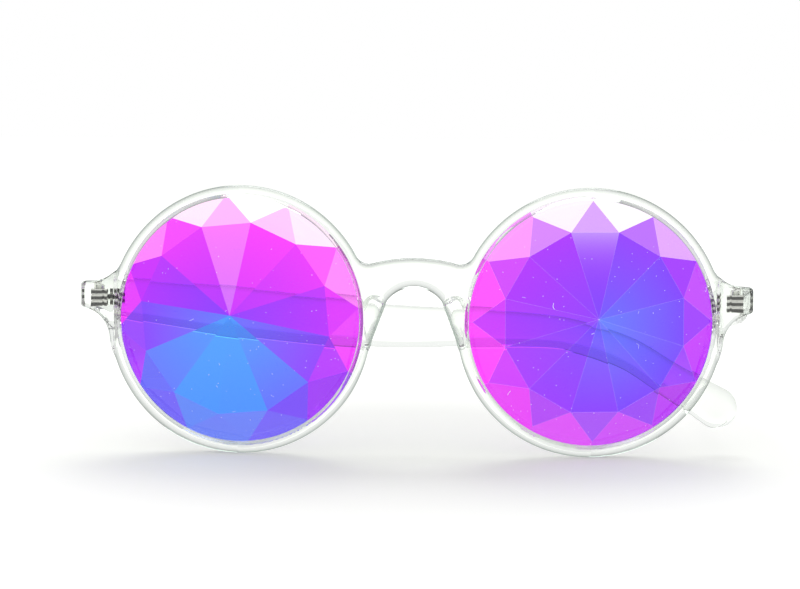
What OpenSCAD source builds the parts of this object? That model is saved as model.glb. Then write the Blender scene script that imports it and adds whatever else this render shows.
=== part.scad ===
// Kaleidoscope glasses: a clear moulded front, two round faceted lenses and two folding temples.
// Sizes are in millimetres. The glasses are drawn as worn, with X to the viewer's right, Y backward
// from the front face and Z up from the lens centres, and then stood on the table.

/* [Lenses] */
// Width of each round lens opening
lens_d = 50; // [46:0.5:54]
// Gap between the two lens openings at the nose
lens_gap = 22.4; // [20:0.2:26]
// Thickness of the lens at its edge
lens_edge_t = 1.8; // [1.5:0.1:2.2]
// How far the lens edge reaches into the groove of the rim
lens_lip = 0.8; // [0.5:0.1:1.2]
// Room between the lens edge and the groove
lens_fit = 0.05; // [0.03:0.01:0.1]
// Number of wedge facets round the middle point
facets = 12; // [8:1:16]
// Height of the ring of facet corners above the edge of the lens
ring_rise = 2.4; // [1.8:0.1:3.2]
// Height of the middle point above the edge of the lens
point_rise = 5.5; // [4.5:0.1:7]
// Width of the ring of facet corners on the left lens
left_ring_d = 39.7; // [36:0.1:41]
// Width of the ring of facet corners on the right lens
right_ring_d = 37.7; // [36:0.1:41]
// Width across the star tips on the left lens
left_star_d = 50.6; // [48:0.1:52]
// Width across the star tips on the right lens
right_star_d = 49.2; // [48:0.1:52]
// Turn of the facet corners on the left lens, in degrees
left_turn = 20.5; // [0:0.5:30]
// Turn of the facet corners on the right lens, in degrees
right_turn = 15.5; // [0:0.5:30]
// Offset of the cut facets from the lens centre, away from the nose
cut_out = 0.4; // [0:0.1:0.8]
// Offset of the cut facets above the lens centre
cut_up = 0.3; // [0:0.1:0.8]
// Offset of the middle point from the cut facets, away from the nose
point_out = 0.3; // [0:0.1:0.8]
// Offset of the middle point above the cut facets
point_up = 0.8; // [0:0.1:1.2]

/* [Rims and bridge] */
// Width of the rim seen from the front
rim_w = 2.5; // [2.3:0.1:3.2]
// Depth of the rim from front to back
rim_t = 4.2; // [3.8:0.1:5]
// Rounding of the rim's edges
rim_round = 0.8; // [0.4:0.1:1]
// Distance from the front face to the lens groove
groove_in = 1.1; // [0.9:0.1:1.3]
// Backward turn of each side of the front, in degrees
wrap = 6; // [3:0.5:9]
// Half width of the flat middle of the front
flat_half = 10; // [8:0.5:11]
// Height of the bridge's top above the lens centres
bridge_top = 13; // [12:0.1:15]
// Radius of the bridge's gently arched top
bridge_arch_r = 34; // [30:1:60]
// Radius of the hollow where the bridge runs up into a rim
bridge_blend_r = 3.2; // [3:0.1:5]
// Radius of the arch over the nose
nose_r = 7; // [6.5:0.1:7.6]
// Flare of the nose opening's sides, in degrees from upright
nose_flare = 21; // [16:1:24]

/* [Nose pads] */
// How far the moulded nose pads reach behind the front face
pad_reach = 10.4; // [8:0.1:10.8]
// Height of a nose pad along the side of the nose opening
pad_h = 10; // [7:0.2:11]
// Half the thickness of a nose pad
pad_r = 1.2; // [0.9:0.1:1.4]
// Distance by which a nose pad leans away from the nose as it goes back
pad_flare = 1.4; // [0.5:0.1:2]

/* [End pieces] */
// How far an end piece reaches beyond the rim
end_reach = 5.9; // [5.6:0.1:8]
// Height of an end piece at its outer edge
end_h = 5.3; // [4.8:0.1:6]
// Height of an end piece's middle above the lens centres
end_z = 4.75; // [4:0.05:6]
// Distance from the front face to the back of the end pieces
end_back = 11; // [10.6:0.1:12]
// Radius of the hollow above an end piece
end_top_r = 7; // [6:0.5:13]
// Radius of the hollow below an end piece
end_low_r = 6.5; // [5:0.5:7]

/* [Temples] */
// Thickness of a temple
temple_t = 2.6; // [2.4:0.1:3]
// Height of a temple where it is tallest
temple_h = 9.3; // [8:0.1:10.5]
// Height of the slim neck before the ear piece
neck_h = 6.4; // [5:0.1:7]
// Distance from the hinge pin to where the ear piece begins to bend
ear_at = 95; // [88:1:100]
// Radius of the bend over the ear
ear_r = 26; // [20:1:34]
// Downward slope of the ear piece, in degrees
ear_slope = 31; // [25:1:36]
// Straight length of the ear piece up to the middle of its round end
ear_l = 23.2; // [18:0.2:28]
// Width of the round end of the ear piece
tip_d = 8.6; // [7:0.1:10]
// Drop of the temple's middle line from the lens centres where the ear piece begins
neck_drop = 2.1; // [0:0.1:3]
// Length over which the temple widens behind the end piece
shoulder_l = 7; // [5:0.5:10]
// Height that the temple gains over that length
shoulder_gain = 2.6; // [2:0.1:3.5]
// Drop of the temple's middle line over that length
shoulder_drop = 1.4; // [1:0.1:2]
// Drop of the temple's middle line from the end piece to its tallest part
belly_drop = 6.3; // [5:0.1:7]

/* [Hinges] */
// Outer radius of the hinge knuckles
knuckle_r = 1.2; // [1.1:0.05:1.3]
// Height of the three knuckles together
barrel_h = 3.5; // [3:0.1:4]
// Gap between one knuckle and the next
knuckle_gap = 0.08; // [0.05:0.01:0.12]
// Radius of the hinge screw
screw_r = 0.6; // [0.5:0.05:0.7]
// Running room between the screw and the temple's knuckle
screw_fit = 0.05; // [0.02:0.01:0.08]
// Distance of the hinge's middle below the end piece's middle
barrel_drop = 0.75; // [0.4:0.05:0.8]
// Distance from the hinge pin to the inner face of the temple
pin_in = 0.9; // [0.8:0.05:1]
// Distance from the back of the end piece to the hinge pin
pin_back = 1.5; // [1.45:0.05:1.8]
// Room between the end piece and an open temple
stop_gap = 0.15; // [0.1:0.01:0.25]
// Length of the front leaf's fingers, sunk into the end piece
finger_l = 2.6; // [2:0.1:3]
// Width of the front leaf
leaf_w = 3.4; // [3.2:0.1:4]
// Thickness of a hinge leaf
leaf_t = 0.7; // [0.5:0.05:0.8]
// Length of the temple's leaf, behind the hinge pin
temple_leaf_l = 6.6; // [5:0.1:8]
// Room between a hinge leaf and the plastic round it
leaf_fit = 0.03; // [0.02:0.01:0.06]

/* [Stance] */
// Fold of the left temple, in degrees from fully open
left_fold = 91.5; // [0:0.5:91.5]
// Fold of the right temple, in degrees from fully open
right_fold = 0; // [0:0.5:88.5]

/* [Hidden] */
$fn = 96;
tiny = 0.01;
far = 100;

// Lens and rim places
lens_r = lens_d / 2;
lens_x = (lens_gap + lens_d) / 2;
rim_r = lens_r + rim_w;
edge_r = lens_r + lens_lip;
edge_y = groove_in + lens_fit;
lens_back_y = edge_y + lens_edge_t;
groove_r = edge_r + lens_fit;
web_r = groove_r + 0.5;

// Depth by which a hollow cuts into the rim, so that the two never just graze each other
bite = 0.15;

// The facets slope down past the lip of the rim and leave this thickness at the lens edge
edge_left = 0.5;
skirt = 2;

// End piece, pin and knuckles
end_x = lens_x + rim_r + end_reach;
front_half = flat_half + (end_x - flat_half) * cos(wrap);
end_top = end_z + end_h / 2;
end_low = end_z - end_h / 2;
hinge_z = end_z - barrel_drop;
pin_x = front_half - temple_t - pin_in;
pin_y = end_back + pin_back;
middle_h = barrel_h / 3 - knuckle_gap;
leaf_out = 1.4;
web_w = 1.4;
swing_room = 0.3;

// Temple stations: distance from the pin, height of the middle line and height of the section
butt_s = stop_gap - pin_back;
shoulder_s = butt_s + shoulder_l;
belly_s = 0.6 * ear_at;
bend_end_s = ear_at + ear_r * sin(ear_slope);
bend_end_z = -neck_drop - ear_r * (1 - cos(ear_slope));
tip_s = bend_end_s + ear_l * cos(ear_slope);
tip_z = bend_end_z - ear_l * sin(ear_slope);
tip_r = tip_d / 2;
temple_knots = [
    [butt_s, end_z, end_h],
    [shoulder_s, end_z - shoulder_drop, end_h + shoulder_gain],
    [belly_s, end_z - belly_drop, temple_h],
    [ear_at, -neck_drop, neck_h],
    [bend_end_s, bend_end_z, neck_h],
    [(bend_end_s + tip_s) / 2, (bend_end_z + tip_z) / 2, 0.55 * neck_h + 0.4 * tip_d],
    [tip_s, tip_z, tip_d]
];

// The glasses stand on the backs of the rims and on the open temple's round end.
// The lean is the slope of the line that touches both from below.
foot_r = rim_round;
rim_foot = [(lens_x - flat_half) * sin(wrap) + (rim_t - foot_r) * cos(wrap), foot_r - rim_r];
tip_foot = [pin_y + tip_s * cos(right_fold), tip_z];
foot_span = norm(tip_foot - rim_foot);
lean = atan2(tip_foot[1] - rim_foot[1], tip_foot[0] - rim_foot[0]) - asin((tip_r - foot_r) / foot_span);
lift = foot_r + rim_foot[0] * sin(lean) - rim_foot[1] * cos(lean);
point_y = (lens_x - flat_half) * sin(wrap) + (cut_out + point_out) * sin(wrap)
    + (edge_y - point_rise) * cos(wrap);
front_y = point_y * cos(lean) + (cut_up + point_up) * sin(lean);
back_y = tip_foot[0] * cos(lean) + tip_foot[1] * sin(lean) + tip_r;
mid_y = (front_y + back_y) / 2;

// Centre of the circle that touches two circles from outside, on the left of the way from p to q
function touch(p, rp, q, rq) =
    let (way = q - p, d = norm(way), along = (rp * rp - rq * rq + d * d) / (2 * d))
    p + way * along / d + [-way[1], way[0]] / d * sqrt(rp * rp - along * along);

// Point at a share of the way from one circle's centre to another's
function toward(p, q, r) = p + (q - p) * r / norm(q - p);

// Smooth curve through the temple stations, read at the distance s
function slope_at(k, i) =
    i == 0 ? (k[1] - k[0]) / (k[1][0] - k[0][0]) :
    i == len(k) - 1 ? (k[i] - k[i - 1]) / (k[i][0] - k[i - 1][0]) :
    (k[i + 1] - k[i - 1]) / (k[i + 1][0] - k[i - 1][0]);
function span_of(k, s, i = 0) = i >= len(k) - 2 || s <= k[i + 1][0] ? i : span_of(k, s, i + 1);
function station(k, s) =
    let (i = span_of(k, s), w = k[i + 1][0] - k[i][0], t = (s - k[i][0]) / w)
    k[i] * (2 * pow(t, 3) - 3 * pow(t, 2) + 1) + slope_at(k, i) * w * (pow(t, 3) - 2 * pow(t, 2) + t)
    + k[i + 1] * (3 * pow(t, 2) - 2 * pow(t, 3)) + slope_at(k, i + 1) * w * (pow(t, 3) - pow(t, 2));

// Rounded section of a temple: thickness along X, height along the second axis
function soft(v, power) = sign(v) * pow(abs(v), power);
section_n = 16;
section = [for (i = [0 : section_n - 1])
    [soft(cos(i * 360 / section_n), 0.6), soft(sin(i * 360 / section_n), 0.6)]];
function ring_at(s, z, tilt, h, t) = [for (p = section)
    [p[0] * t / 2, s - p[1] * h / 2 * sin(tilt), z + p[1] * h / 2 * cos(tilt)]];

// Sides: everything is drawn for the right side and mirrored for the left
module on_side(side) {
    if (side > 0) children();
    else mirror([1, 0, 0]) children();
}

// A side of the front, turned backward from the flat middle
module wrapped() {
    translate([flat_half, 0, 0]) rotate([0, 0, wrap]) translate([-flat_half, 0, 0]) children();
}

// From a drawing in X and Z to a slab that starts at the front face
module slab(depth) {
    rotate([90, 0, 0]) mirror([0, 0, 1]) linear_extrude(depth) children();
}

// From a profile in radius and depth to a ring round the lens axis
module turned() {
    rotate([-90, 0, 0]) rotate_extrude($fn = 180) children();
}

// The whole pair of glasses as it stands on the table
module standing() {
    translate([0, -mid_y, lift]) rotate([-lean, 0, 0]) children();
}

// A temple and its leaf, swung about the hinge pin
module swung(side, fold) {
    on_side(side) translate([pin_x, pin_y, 0]) rotate([0, 0, fold]) children();
}

module rounded_bar(x0, x1, y0, y1, r) {
    translate([x0, y0 + r]) square([x1 - x0, y1 - y0 - 2 * r]);
    translate([x0 + r, y0]) square([x1 - x0 - 2 * r, y1 - y0]);
    for (x = [x0 + r, x1 - r], y = [y0 + r, y1 - r]) translate([x, y]) circle(r = r, $fn = 32);
}

module rim() {
    translate([lens_x, 0, 0]) turned() rounded_bar(lens_r, rim_r, 0, rim_t, rim_round);
}

// Room of the lens: the groove in the rim and the space between
module groove() {
    translate([lens_x, 0, 0]) turned()
        translate([0, groove_in]) square([groove_r, lens_edge_t + 2 * lens_fit]);
}

module nose_opening() {
    side = [nose_r * cos(nose_flare), nose_r * sin(nose_flare)];
    foot = side + 20 * [sin(nose_flare), -cos(nose_flare)];
    circle(r = nose_r);
    polygon([side, foot, [-foot[0], foot[1]], [-side[0], side[1]]]);
}

// Bridge with its arched top, hollows up to the rims and the arch over the nose
module bridge_outline() {
    arch_c = [0, bridge_top - bridge_arch_r];
    lens_c = [lens_x, 0];
    blend_c = touch(arch_c, bridge_arch_r + bridge_blend_r, lens_c, rim_r + bridge_blend_r - bite);
    difference() {
        union() {
            intersection() {
                translate([-flat_half, -nose_r]) square([2 * flat_half, bridge_top + nose_r]);
                translate(arch_c) circle(r = bridge_arch_r, $fn = 360);
            }
            for (side = [0, 1]) mirror([side, 0]) polygon([
                [0, 0], toward(blend_c, arch_c, bridge_blend_r), blend_c,
                toward(blend_c, lens_c, bridge_blend_r), lens_c, [flat_half, -nose_r]]);
        }
        for (side = [0, 1]) mirror([side, 0]) {
            translate(blend_c) circle(r = bridge_blend_r);
            translate(lens_c) circle(r = web_r, $fn = 180);
        }
        nose_opening();
    }
}

// End piece with a hollow above and below where it grows out of the rim
module end_outline() {
    top_z = end_top + end_top_r;
    low_z = end_low - end_low_r;
    top_c = [lens_x + sqrt(pow(rim_r + end_top_r - bite, 2) - pow(top_z, 2)), top_z];
    low_c = [lens_x + sqrt(pow(rim_r + end_low_r - bite, 2) - pow(low_z, 2)), low_z];
    lens_c = [lens_x, 0];
    corner = 0.8;
    difference() {
        intersection() {
            polygon([lens_c, toward(top_c, lens_c, end_top_r), top_c, [top_c[0], end_top],
                [end_x + 2, end_top], [end_x + 2, end_low], [low_c[0], end_low], low_c,
                toward(low_c, lens_c, end_low_r)]);
            union() {
                translate([lens_x, -rim_r]) square([end_x - corner - lens_x, 2 * rim_r]);
                translate([lens_x, end_low + corner]) square([end_x - lens_x, end_h - 2 * corner]);
                for (z = [end_low + corner, end_top - corner])
                    translate([end_x - corner, z]) circle(r = corner, $fn = 32);
            }
        }
        translate(top_c) circle(r = end_top_r, $fn = 180);
        translate(low_c) circle(r = end_low_r);
        translate(lens_c) circle(r = web_r, $fn = 180);
    }
}

// End piece: its back slopes away from the rim to the flat face that carries the hinge
module end_piece() {
    slope_x = lens_x + rim_r - 1.2;
    slope = 2;
    difference() {
        slab(end_back) end_outline();
        translate([0, 0, -far]) linear_extrude(2 * far)
            polygon([[lens_x, rim_t], [slope_x, rim_t], [slope_x + slope, rim_t + slope],
                [slope_x + slope, far], [lens_x, far]]);
    }
}

// Moulded nose pad: a fin along the side of the nose opening that leans outward as it goes back
module nose_pad() {
    along = 3.7;
    root_y = rim_t - 1.4;
    back_y = pad_reach - pad_r;
    corner = 0.32 * pad_h;
    middle = (nose_r + pad_r) * [cos(nose_flare), sin(nose_flare)]
        + along * [sin(nose_flare), -cos(nose_flare)];
    translate([middle[0], 0, middle[1]]) rotate([0, -nose_flare, 0]) intersection() {
        translate([0, root_y, -far / 2]) rotate([0, 0, -atan2(pad_flare, back_y - root_y)])
            linear_extrude(far) {
                translate([-pad_r, 0]) square([2 * pad_r, norm([pad_flare, back_y - root_y])]);
                translate([0, norm([pad_flare, back_y - root_y])]) circle(r = pad_r, $fn = 32);
            }
        translate([-nose_r, 0, 0]) rotate([90, 0, 90]) linear_extrude(3 * nose_r)
            rounded_bar(root_y - corner, pad_reach, -pad_h / 2, pad_h / 2, corner);
    }
}

// Box from one corner to the opposite one, grown by the room on every side
module block(from, to, room) {
    translate(from - room * [1, 1, 1]) cube(to - from + 2 * room * [1, 1, 1]);
}

// Metal leaf with two knuckles: a plate in the back of the end piece, three fingers and a rib
module front_leaf(room = 0) {
    low = hinge_z - barrel_h / 2;
    knuckle = (barrel_h - middle_h) / 2 - knuckle_gap;
    plate_x = pin_x + leaf_out - leaf_w;
    plate_y = end_back - leaf_t;
    rib_w = 0.6;
    finger_w = leaf_w - 1;
    block([plate_x, plate_y, low], [plate_x + leaf_w, end_back, low + barrel_h], room);
    block([plate_x, end_back - finger_l, low], [plate_x + rib_w, end_back, low + barrel_h], room);
    for (i = [0 : 2]) {
        z = low + i * (barrel_h - middle_h) / 2;
        block([plate_x + leaf_w - finger_w, end_back - finger_l, z],
            [plate_x + leaf_w, end_back, z + middle_h], room);
    }
    for (z = [low, low + barrel_h - knuckle]) {
        translate([pin_x, pin_y, z - room]) cylinder(r = knuckle_r + room, h = knuckle + 2 * room);
        block([pin_x - web_w / 2, plate_y, z], [pin_x + web_w / 2, pin_y, z + knuckle], room);
    }
}

module front_hinge(side) {
    color("silver") standing() on_side(side) difference() {
        front_leaf();
        translate([pin_x, pin_y, hinge_z - barrel_h]) cylinder(r = screw_r + tiny, h = 2 * barrel_h);
    }
}

// Metal leaf with one knuckle, sunk into a temple's inner face. The pin is at X = 0, Y = 0.
module temple_leaf(room = 0) {
    plate_from = 2;
    proud = 0.45;
    plate_x = pin_in - proud;
    translate([0, 0, hinge_z - middle_h / 2 - room]) cylinder(r = knuckle_r + room, h = middle_h + 2 * room);
    block([0, 0, hinge_z - middle_h / 2], [plate_x + leaf_t, plate_from + leaf_t, hinge_z + middle_h / 2],
        room);
    block([plate_x, plate_from, hinge_z - barrel_h / 2], [plate_x + leaf_t, temple_leaf_l, hinge_z + barrel_h / 2],
        room);
    block([plate_x, temple_leaf_l - leaf_t, hinge_z - barrel_h / 2],
        [plate_x + 2 * leaf_t, temple_leaf_l, hinge_z + barrel_h / 2], room);
}

module temple_hinge(side, fold) {
    color("silver") standing() swung(side, fold) difference() {
        temple_leaf();
        translate([0, 0, hinge_z - barrel_h]) cylinder(r = screw_r + screw_fit, h = 2 * barrel_h);
    }
}

// Slotted screw that holds the three knuckles together
module hinge_screw(side) {
    head_r = knuckle_r - 0.1;
    head_h = 0.5;
    color("gainsboro") standing() on_side(side) translate([pin_x, pin_y, hinge_z]) difference() {
        union() {
            translate([0, 0, -barrel_h / 2]) cylinder(r = screw_r, h = barrel_h + tiny);
            translate([0, 0, barrel_h / 2]) cylinder(r = head_r, h = head_h);
        }
        translate([-head_r, -0.15, barrel_h / 2 + head_h / 2]) cube([2 * head_r, 0.3, head_h]);
    }
}

module front_frame() {
    color("azure", 0.5) standing() difference() {
        union() {
            intersection() {
                slab(rim_t) bridge_outline();
                translate([-flat_half, -1, -far]) cube([2 * flat_half, rim_t + 2, 2 * far]);
            }
            for (side = [-1, 1]) on_side(side) {
                wrapped() {
                    rim();
                    intersection() {
                        slab(rim_t) bridge_outline();
                        translate([flat_half, -1, -far]) cube([far, rim_t + 2, 2 * far]);
                    }
                    end_piece();
                }
                nose_pad();
            }
        }
        translate([-far, end_back, -far]) cube([2 * far, far, 2 * far]);
        for (side = [-1, 1]) on_side(side) {
            wrapped() groove();
            front_leaf(leaf_fit);
        }
    }
}

// Faceted crown of a lens: a middle point, a ring of corners, star tips between them and a skirt
module lens_crown(ring_r, star_r, turn) {
    step = 360 / facets;
    slide = [cut_out, cut_up];
    fall = (ring_rise + lens_edge_t - edge_left) / (edge_r + norm(slide) - ring_r);
    star_h = ring_rise - fall * (star_r * cos(step / 2) - ring_r);
    skirt_r = star_r + skirt;
    skirt_h = star_h - fall * cos(step / 2) * skirt;
    function corner(r, h, a) = [slide[0] + r * cos(a), edge_y - h, slide[1] + r * sin(a)];
    top = [[cut_out + point_out, edge_y - point_rise, cut_up + point_up]];
    ring = [for (i = [0 : facets - 1]) corner(ring_r, ring_rise, turn + i * step)];
    star = [for (i = [0 : facets - 1]) corner(star_r, star_h, turn + (i + 0.5) * step)];
    brim = [for (i = [0 : facets - 1]) corner(skirt_r, skirt_h, turn + (i + 0.5) * step)];
    base = [for (p = brim) [p[0], lens_back_y, p[2]]];
    n = facets;
    function nxt(i) = (i + 1) % n;
    faces = [for (i = [0 : n - 1]) each [
        [0, 1 + i, 1 + nxt(i)],
        [1 + i, 1 + n + i, 1 + nxt(i)],
        [1 + nxt(i), 1 + n + i, 1 + n + nxt(i)],
        [1 + n + i, 1 + 2 * n + i, 1 + n + nxt(i)],
        [1 + n + nxt(i), 1 + 2 * n + i, 1 + 2 * n + nxt(i)],
        [1 + 2 * n + i, 1 + 3 * n + i, 1 + 2 * n + nxt(i)],
        [1 + 2 * n + nxt(i), 1 + 3 * n + i, 1 + 3 * n + nxt(i)]]];
    polyhedron(concat(top, ring, star, brim, base),
        concat(faces, [[for (i = [n - 1 : -1 : 0]) 1 + 3 * n + i]]));
}

module lens(side, ring_d, star_d, turn) {
    color("mediumorchid") standing() on_side(side) wrapped() translate([lens_x, 0, 0]) intersection() {
        lens_crown(ring_d / 2, star_d / 2, side > 0 ? turn : 180 - turn);
        union() {
            rotate([-90, 0, 0]) translate([0, 0, -far]) cylinder(r = lens_r - lens_fit, h = 2 * far, $fn = 180);
            rotate([-90, 0, 0]) translate([0, 0, edge_y]) cylinder(r = edge_r, h = lens_edge_t, $fn = 180);
        }
    }
}

// Temple body: sections set along the stations, closed by the round end of the ear piece
module temple_body() {
    arm_steps = 14;
    ear_steps = 9;
    cap_steps = 5;
    cap = [for (i = [1 : cap_steps]) 86 * i / cap_steps];
    s_list = concat([for (i = [0 : arm_steps - 1]) butt_s + (ear_at - butt_s) * i / arm_steps],
        [for (i = [0 : ear_steps]) ear_at + (tip_s - ear_at) * i / ear_steps]);
    rings = [for (s = s_list)
        let (at = station(temple_knots, s), near = station(temple_knots, s + tiny),
            tilt = s > butt_s ? atan2(near[1] - at[1], tiny) : 0)
        ring_at(s, at[1], tilt, at[2], temple_t)];
    ends = [for (a = cap) ring_at(tip_s + tip_r * sin(a) * cos(ear_slope),
        tip_z - tip_r * sin(a) * sin(ear_slope), -ear_slope, tip_d * cos(a), temple_t * (0.5 + 0.5 * cos(a)))];
    all = concat(rings, ends);
    m = section_n;
    last = len(all) - 1;
    points = [for (r = all) each r];
    walls = [for (i = [0 : last - 1], j = [0 : m - 1]) each [
        [i * m + j, i * m + (j + 1) % m, (i + 1) * m + j],
        [i * m + (j + 1) % m, (i + 1) * m + (j + 1) % m, (i + 1) * m + j]]];
    polyhedron(points,
        concat(walls, [[for (j = [m - 1 : -1 : 0]) j], [for (j = [0 : m - 1]) last * m + j]]));
}

module temple(side, fold) {
    color("azure", 0.5) standing() swung(side, fold) difference() {
        translate([pin_in + temple_t / 2, 0, 0]) temple_body();
        translate([0, 0, -far]) cylinder(r = knuckle_r + swing_room, h = 2 * far);
        temple_leaf(leaf_fit);
    }
}

front_frame();
lens(-1, left_ring_d, left_star_d, left_turn);  // lens_left
lens(1, right_ring_d, right_star_d, right_turn);  // lens_right
temple(-1, left_fold);  // temple_left
temple(1, right_fold);  // temple_right
front_hinge(-1);  // front_hinge_left
front_hinge(1);  // front_hinge_right
temple_hinge(-1, left_fold);  // temple_hinge_left
temple_hinge(1, right_fold);  // temple_hinge_right
hinge_screw(-1);  // hinge_screw_left
hinge_screw(1);  // hinge_screw_right
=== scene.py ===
import math
from collections import namedtuple

import bmesh
import bpy
import numpy as np
from mathutils import Matrix


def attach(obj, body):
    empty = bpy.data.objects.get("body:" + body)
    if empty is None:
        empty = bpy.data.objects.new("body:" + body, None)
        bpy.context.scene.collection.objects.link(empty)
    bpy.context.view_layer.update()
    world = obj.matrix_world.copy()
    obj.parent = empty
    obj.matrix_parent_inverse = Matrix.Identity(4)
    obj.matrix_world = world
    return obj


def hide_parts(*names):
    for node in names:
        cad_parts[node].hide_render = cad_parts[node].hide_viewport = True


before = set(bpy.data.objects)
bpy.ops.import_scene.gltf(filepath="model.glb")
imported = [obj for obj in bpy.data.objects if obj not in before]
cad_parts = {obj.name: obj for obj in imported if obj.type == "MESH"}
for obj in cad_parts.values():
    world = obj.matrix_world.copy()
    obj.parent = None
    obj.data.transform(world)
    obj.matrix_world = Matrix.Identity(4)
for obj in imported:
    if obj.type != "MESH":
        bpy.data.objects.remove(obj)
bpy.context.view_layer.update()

# Sizes in millimetres, the same as in the part's source
LENS_R, LENS_GAP = 25.0, 22.4
LENS_X = LENS_R + LENS_GAP / 2
RIM_W, RIM_T, RIM_ROUND = 2.5, 4.2, 0.8
RIM_R = LENS_R + RIM_W
LIP, FIT, GROOVE_IN, EDGE_T = 0.8, 0.05, 1.1, 1.8
EDGE_R = LENS_R + LIP
EDGE_Y = GROOVE_IN + FIT
GROOVE_R = EDGE_R + FIT
BACK_Y = EDGE_Y + EDGE_T
WRAP, FLAT = math.radians(6), 10.0
BRIDGE_TOP, ARCH_R, BLEND_R = 13.0, 34.0, 3.2
NOSE_R, FLARE = 7.0, math.radians(21)
PAD_REACH, PAD_H, PAD_R, PAD_FLARE, PAD_ALONG = 10.4, 10.0, 1.2, 1.4, 3.7
END_REACH, END_H, END_Z, END_BACK = 5.9, 5.3, 4.75, 11.0
END_TOP_R, END_LOW_R, END_CORNER = 7.0, 6.5, 0.8
END_X = LENS_X + RIM_R + END_REACH
FRONT_HALF = FLAT + (END_X - FLAT) * math.cos(WRAP)
TEMPLE_T, TEMPLE_H, NECK_H, TIP_D, NECK_DROP = 2.6, 9.3, 6.4, 8.6, 2.1
EAR_AT, EAR_R, EAR_SLOPE, EAR_L = 95.0, 26.0, math.radians(31), 23.2
SHOULDER_L, SHOULDER_GAIN, SHOULDER_DROP, BELLY_DROP = 7.0, 2.6, 1.4, 6.3
PIN_IN, PIN_BACK, STOP_GAP, KNUCKLE_R, SWING_ROOM = 0.9, 1.5, 0.15, 1.2, 0.3
PIN_X, PIN_Y = FRONT_HALF - TEMPLE_T - PIN_IN, END_BACK + PIN_BACK
LEFT_FOLD, RIGHT_FOLD = math.radians(91.5), 0.0
FACETS, RING_RISE, POINT_RISE, EDGE_LEFT, SKIRT = 12, 2.4, 5.5, 0.5, 2.0
CUT_OUT, CUT_UP, POINT_OUT, POINT_UP = 0.4, 0.3, 0.3, 0.8

# Temple stations: distance from the pin, height of the middle line, height of the section
BUTT_S = STOP_GAP - PIN_BACK
BEND_S = EAR_AT + EAR_R * math.sin(EAR_SLOPE)
BEND_Z = -NECK_DROP - EAR_R * (1 - math.cos(EAR_SLOPE))
TIP_S = BEND_S + EAR_L * math.cos(EAR_SLOPE)
TIP_Z = BEND_Z - EAR_L * math.sin(EAR_SLOPE)
STATIONS = np.array([
    [BUTT_S, END_Z, END_H],
    [BUTT_S + SHOULDER_L, END_Z - SHOULDER_DROP, END_H + SHOULDER_GAIN],
    [0.6 * EAR_AT, END_Z - BELLY_DROP, TEMPLE_H],
    [EAR_AT, -NECK_DROP, NECK_H],
    [BEND_S, BEND_Z, NECK_H],
    [(BEND_S + TIP_S) / 2, (BEND_Z + TIP_Z) / 2, 0.55 * NECK_H + 0.4 * TIP_D],
    [TIP_S, TIP_Z, TIP_D]])

# Stance: the line that touches the backs of the rims and the open temple's round end from below
RIM_FOOT = ((LENS_X - FLAT) * math.sin(WRAP) + (RIM_T - RIM_ROUND) * math.cos(WRAP), RIM_ROUND - RIM_R)
TIP_FOOT = (PIN_Y + TIP_S, TIP_Z)
LEAN = math.atan2(TIP_FOOT[1] - RIM_FOOT[1], TIP_FOOT[0] - RIM_FOOT[0]) \
    - math.asin((TIP_D / 2 - RIM_ROUND) / math.dist(RIM_FOOT, TIP_FOOT))
LIFT = RIM_ROUND + RIM_FOOT[0] * math.sin(LEAN) - RIM_FOOT[1] * math.cos(LEAN)
POINT_Y = (LENS_X - FLAT + CUT_OUT + POINT_OUT) * math.sin(WRAP) + (EDGE_Y - POINT_RISE) * math.cos(WRAP)
FRONT_END = POINT_Y * math.cos(LEAN) + (CUT_UP + POINT_UP) * math.sin(LEAN)
BACK_END = TIP_FOOT[0] * math.cos(LEAN) + TIP_FOOT[1] * math.sin(LEAN) + TIP_D / 2
MID_Y = (FRONT_END + BACK_END) / 2


def standing(p):
    """From the glasses' own millimetres to their place on the table, in metres."""
    p = np.asarray(p, float)
    x, y, z = p[..., 0], p[..., 1], p[..., 2]
    c, s = math.cos(LEAN), math.sin(LEAN)
    return np.stack([x, y * c + z * s - MID_Y, z * c - y * s + LIFT], -1) / 1000


def lying(p):
    """From metres on the table back to the glasses' own millimetres."""
    c, s = math.cos(LEAN), math.sin(LEAN)
    y, z = p[:, 1] * 1000 + MID_Y, p[:, 2] * 1000 - LIFT
    return np.stack([p[:, 0] * 1000, y * c - z * s, z * c + y * s], 1)


def wrapped(p, side):
    """From a lens's own place, with its axis along Y, to the turned side of the front."""
    c, s = math.cos(WRAP), math.sin(WRAP)
    x = LENS_X - FLAT + p[:, 0]
    return np.stack([side * (FLAT + x * c - p[:, 1] * s), x * s + p[:, 1] * c, p[:, 2]], 1)


# Building tools
def add(tree, kind, inputs=None, **settings):
    """A node with its settings, and its inputs given as values or as sockets to link."""
    n = tree.nodes.new(kind)
    for key, value in settings.items():
        setattr(n, key, value)
    for key, value in (inputs or {}).items():
        for one in value if isinstance(value, list) else [value]:
            if isinstance(one, bpy.types.NodeSocket):
                tree.links.new(one, n.inputs[key])
            else:
                n.inputs[key].default_value = one
    return n


def first(tree, kind, inputs=None, **settings):
    """The first output of a new node."""
    return add(tree, kind, inputs, **settings).outputs[0]


def math_of(tree, operation, a, b=0.0):
    return first(tree, "ShaderNodeMath", {0: a, 1: b}, operation=operation)


def new_object(name, mesh):
    ob = bpy.data.objects.new(name, mesh)
    bpy.context.scene.collection.objects.link(ob)
    return ob


def mesh_object(name, verts, faces, edges=()):
    me = bpy.data.meshes.new(name)
    me.from_pydata([tuple(v) for v in verts], list(edges), [tuple(int(i) for i in f) for f in faces])
    me.validate()
    me.update()
    return new_object(name, me)


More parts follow.
